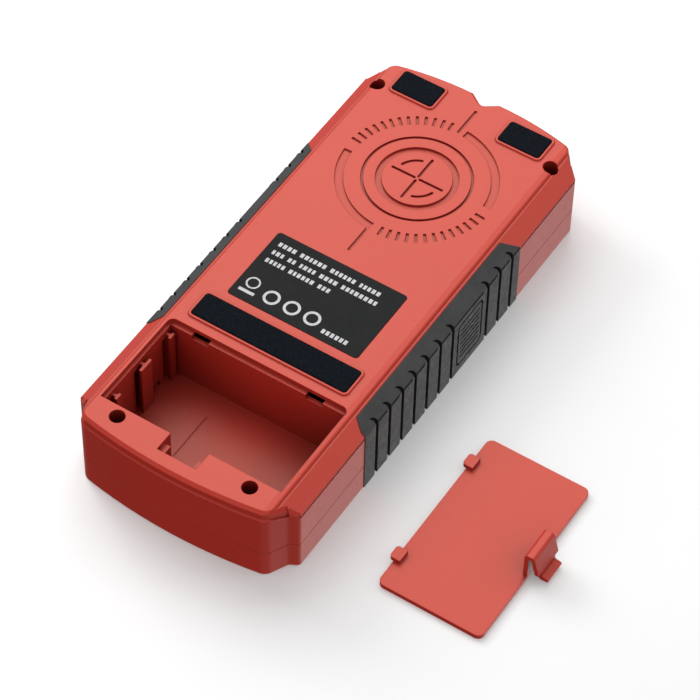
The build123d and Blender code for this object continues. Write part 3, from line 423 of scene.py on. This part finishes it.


# The red case gets painted shade in its wells, bay and grooves, reaching 29 millimetres
red_case = moulded("red_case", (0.60, 0.038, 0.024), 0.42, crevice_shade_reach=29)
rubber = grip_rubber()
felt_cloth = felt()
zinc = metal("zinc_steel", (0.60, 0.60, 0.62), 0.36)
nickel = metal("nickel", (0.74, 0.70, 0.64), 0.22)
copper = wound_copper()
board = circuit_board()
chip = moulded("chip_black", (0.02, 0.02, 0.022), 0.5, edge=0.1)
black_plastic = moulded("black_plastic", (0.022, 0.022, 0.022), 0.45)
white_plastic = moulded("white_plastic", (0.78, 0.78, 0.75), 0.42)
keys = key_rubber()

LOOKS = {
    "rear_cover": red_case, "front_cover": red_case, "battery_door": red_case,
    "left_grip": rubber, "right_grip": rubber, "label_plate": label_film(),
    "felt_pad_long": felt_cloth, "felt_pad_left": felt_cloth, "felt_pad_right": felt_cloth,
    "case_screws": zinc, "board_screws": zinc,
    "battery_snap": black_plastic, "snap_contacts": nickel,
    "positive_lead": moulded("red_lead", (0.55, 0.02, 0.015), 0.35, edge=0),
    "negative_lead": moulded("black_lead", (0.015, 0.015, 0.015), 0.35, edge=0),
    "main_board": board, "sensor_board": board,
    "microcontroller": chip, "board_chips": chip, "board_link": chip,
    "crystal": nickel, "capacitors": metal("capacitor_can", (0.66, 0.67, 0.70), 0.3),
    "buzzer": black_plastic, "tact_switches": black_plastic,
    "display_window": clear_plastic("clear_window", (0.93, 0.95, 0.96), 0.03),
    "lcd_glass": moulded("display_glass", (0.30, 0.36, 0.30), 0.12, grain=2, depth=0.001, edge=0.1),
    "lcd_frame": white_plastic, "backlight": white_plastic, "coil_bobbin": white_plastic,
    "zebra_strips": contact_rubber(),
    "sensor_plates": copper, "live_wire_aerial": copper, "metal_coil": copper,
    "power_key": keys, "stud_key": keys, "metal_key": keys, "live_wire_key": keys,
}


def dress_nodes():
    """Puts each CAD node's look into all of its material slots."""
    for node, piece in nodes.items():
        for slot in piece.material_slots:
            slot.material = LOOKS[node]


def link_mesh(name, mesh, material, smooth):
    """Puts a bmesh into the scene as an object with one material."""
    data = bpy.data.meshes.new(name)
    mesh.to_mesh(data)
    mesh.free()
    data.materials.append(material)
    for face in data.polygons:
        face.use_smooth = smooth
    piece = bpy.data.objects.new(name, data)
    bpy.context.collection.objects.link(piece)
    return piece


# ---- Felt pads ----

# Spacing of the top's mesh, radius of the pad's corners in plan and rounding of its top edge
FELT_STEP = 0.3 * MM
FELT_CORNER = 1.0 * MM
FELT_ROUND = 0.45 * MM
# Depth of the waves and of the nap in the top, then how far apart each of them is
FELT_NAP = 0.05 * MM
FELT_WAVE_SPACING = 2.5 * MM
FELT_NAP_SPACING = 0.45 * MM


def inside_corner(x, y, half_x, half_y, radius):
    """Moves a point of a rectangle inside its rounded corner."""
    over_x = abs(x) - (half_x - radius)
    over_y = abs(y) - (half_y - radius)
    reach = math.hypot(over_x, over_y)
    if over_x <= 0 or over_y <= 0 or reach <= radius:
        return x, y
    share = radius / reach
    return (
        math.copysign(half_x - radius + over_x * share, x),
        math.copysign(half_y - radius + over_y * share, y),
    )


def edge_distance(x, y, half_x, half_y, radius):
    """Distance from a point to the edge of a rounded rectangle."""
    over_x = max(abs(x) - (half_x - radius), 0)
    over_y = max(abs(y) - (half_y - radius), 0)
    if over_x > 0 and over_y > 0:
        return radius - math.hypot(over_x, over_y)
    return min(half_x - abs(x), half_y - abs(y))


def felt_drop(x, y, half_x, half_y, seed):
    """Drop of the pad's top below its crown: rounded rim, slow waves and nap."""
    distance = max(edge_distance(x, y, half_x, half_y, FELT_CORNER), 0)
    drop = 0.0
    if distance < FELT_ROUND:
        lean = 1 - distance / FELT_ROUND
        drop = FELT_ROUND * (1 - math.sqrt(max(1 - lean * lean, 0)))
    waves = 0.5 + 0.5 * noise.noise(Vector((x, y, seed)) / FELT_WAVE_SPACING)
    nap = 0.5 + 0.5 * noise.noise(Vector((x, y, seed)) / FELT_NAP_SPACING)
    return drop + FELT_NAP * (waves + nap)


def add_felt_pad(node, seed):
    """A pad of pressed felt in the place of its plain solid."""
    (x_low, y_low, z_low), (x_high, y_high, z_high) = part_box(node)
    half_x, half_y = (x_high - x_low) / 2, (y_high - y_low) / 2
    middle = ((x_low + x_high) / 2, (y_low + y_high) / 2)
    columns = round(2 * half_x / FELT_STEP)
    rows = round(2 * half_y / FELT_STEP)
    mesh = bmesh.new()
    bmesh.ops.create_grid(mesh, x_segments=columns, y_segments=rows, size=1.0)
    for vertex in mesh.verts:
        x, y = inside_corner(vertex.co.x * half_x, vertex.co.y * half_y, half_x, half_y, FELT_CORNER)
        z = z_high - felt_drop(x, y, half_x, half_y, seed * MM)
        vertex.co = (middle[0] + x, middle[1] + y, z)
    rim = [vertex for vertex in mesh.verts if vertex.is_boundary]
    # In order around the middle, so that the skirt's faces come out the same each run
    rim.sort(key=lambda vertex: math.atan2(vertex.co.y - middle[1], vertex.co.x - middle[0]))
    foot = [mesh.verts.new((vertex.co.x, vertex.co.y, z_low)) for vertex in rim]
    for i in range(len(rim)):
        mesh.faces.new((rim[i - 1], foot[i - 1], foot[i], rim[i]))
    mesh.faces.new(foot)
    bmesh.ops.recalc_face_normals(mesh, faces=mesh.faces)
    pad = link_mesh(node + "_cloth", mesh, felt_cloth, smooth=True)
    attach(pad, "case")
    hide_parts(node)


# ---- Printed label: plan sizes in millimetres, heights in metres ----

INK_HEIGHT = 0.02 * MM
# The print's first corner from the label's top left corner, and the distance between lines
PRINT_MARGIN = (2.4, 3.0)
LINE_PITCH = 3.3
GLYPH_HEIGHT = 1.5
GLYPH_WIDTH = 0.98
# Shares of the glyph width between which each block's own width is drawn
GLYPH_SPREAD = (0.8, 1.15)
GLYPH_GAP = 0.46
WORD_GAP = 1.1
# Number of blocks in each word of each line of print
PRINT_LINES = ((4, 6, 6, 5), (3, 2, 4, 4, 8), (5, 6, 3))
# The low row's height over the label's edge; the rest is placed from there and the left margin
LOW_ROW = 2.6
# Places, as x and y: the bar, the ring over it, the first of the row of rings, the last word
BAR_PLACE = (-0.6, 0.0)
BAR_SIZE = (5.0, 1.0)
SMALL_RING_PLACE = (1.9, 4.0)
SMALL_RING = (2.1, 0.5)
LARGE_RING_PLACE = (9.0, 2.4)
LARGE_RING = (2.5, 0.8)
LARGE_RING_COUNT = 3
LARGE_RING_PITCH = 6.6
LAST_WORD_PLACE = (26.6, -0.4)
LAST_WORD_COUNT = 6
RING_STEPS = 32
PRINT_SEED = 5


def add_block(mesh, x, y, width, height, base):
    """A thin printed block with its low left corner at x, y."""
    low = Vector((x * MM, y * MM, base))
    size = Vector((width * MM, height * MM, INK_HEIGHT))
    made = bmesh.ops.create_cube(mesh, size=1.0)
    for vertex in made["verts"]:
        vertex.co = low + (vertex.co + Vector((0.5, 0.5, 0.5))) * size


def add_ring(mesh, x, y, radius, width, base):
    """A thin printed ring around x, y: four faces from each step to the next, closed on itself."""
    section = ((radius, 0), (radius, 1), (radius - width, 1), (radius - width, 0))
    rows = []
    for step in range(RING_STEPS):
        angle = 2 * math.pi * step / RING_STEPS
        rows.append([
            mesh.verts.new((
                (x + math.cos(angle) * r) * MM, (y + math.sin(angle) * r) * MM, base + INK_HEIGHT * lift,
            ))
            for r, lift in section
        ])
    for near, far in zip(rows, rows[1:] + rows[:1]):
        for i in range(len(section)):
            j = (i + 1) % len(section)
            mesh.faces.new((near[i], near[j], far[j], far[i]))


def add_label_print():
    """Rows of plain blocks and simple figures in the place of print."""
    (x_low, y_low, _), (_, y_high, z_high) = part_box("label_plate")
    left = x_low / MM + PRINT_MARGIN[0]
    top = y_high / MM - PRINT_MARGIN[1]
    draw = random.Random(PRINT_SEED)
    mesh = bmesh.new()
    for row, words in enumerate(PRINT_LINES):
        x = left
        y = top - GLYPH_HEIGHT - row * LINE_PITCH
        for count in words:
            for _ in range(count):
                width = GLYPH_WIDTH * draw.uniform(*GLYPH_SPREAD)
                add_block(mesh, x, y, width, GLYPH_HEIGHT, z_high)
                x += width + GLYPH_GAP
            x += WORD_GAP
    low_row = y_low / MM + LOW_ROW
    add_block(mesh, left + BAR_PLACE[0], low_row + BAR_PLACE[1], *BAR_SIZE, z_high)
    add_ring(mesh, left + SMALL_RING_PLACE[0], low_row + SMALL_RING_PLACE[1], *SMALL_RING, z_high)
    for step in range(LARGE_RING_COUNT):
        x = left + LARGE_RING_PLACE[0] + step * LARGE_RING_PITCH
        add_ring(mesh, x, low_row + LARGE_RING_PLACE[1], *LARGE_RING, z_high)
    for step in range(LAST_WORD_COUNT):
        x = left + LAST_WORD_PLACE[0] + step * (GLYPH_WIDTH + GLYPH_GAP)
        add_block(mesh, x, low_row + LAST_WORD_PLACE[1], GLYPH_WIDTH, GLYPH_HEIGHT, z_high)
    bmesh.ops.recalc_face_normals(mesh, faces=mesh.faces)
    ink = link_mesh("label_print", mesh, print_ink(), smooth=False)
    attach(ink, "case")


# ---- Build ----

bpy.context.scene.view_settings.view_transform = "Standard"
add_camera()
add_sky()
for softbox, setting in SOFTBOXES.items():
    add_softbox(softbox, *setting)
add_softbox("end_fill", *FILL_LIGHT).visible_glossy = False
add_floor()
dress_nodes()
for pad_seed, pad_node in enumerate(("felt_pad_long", "felt_pad_left", "felt_pad_right")):
    add_felt_pad(pad_node, pad_seed)
add_label_print()
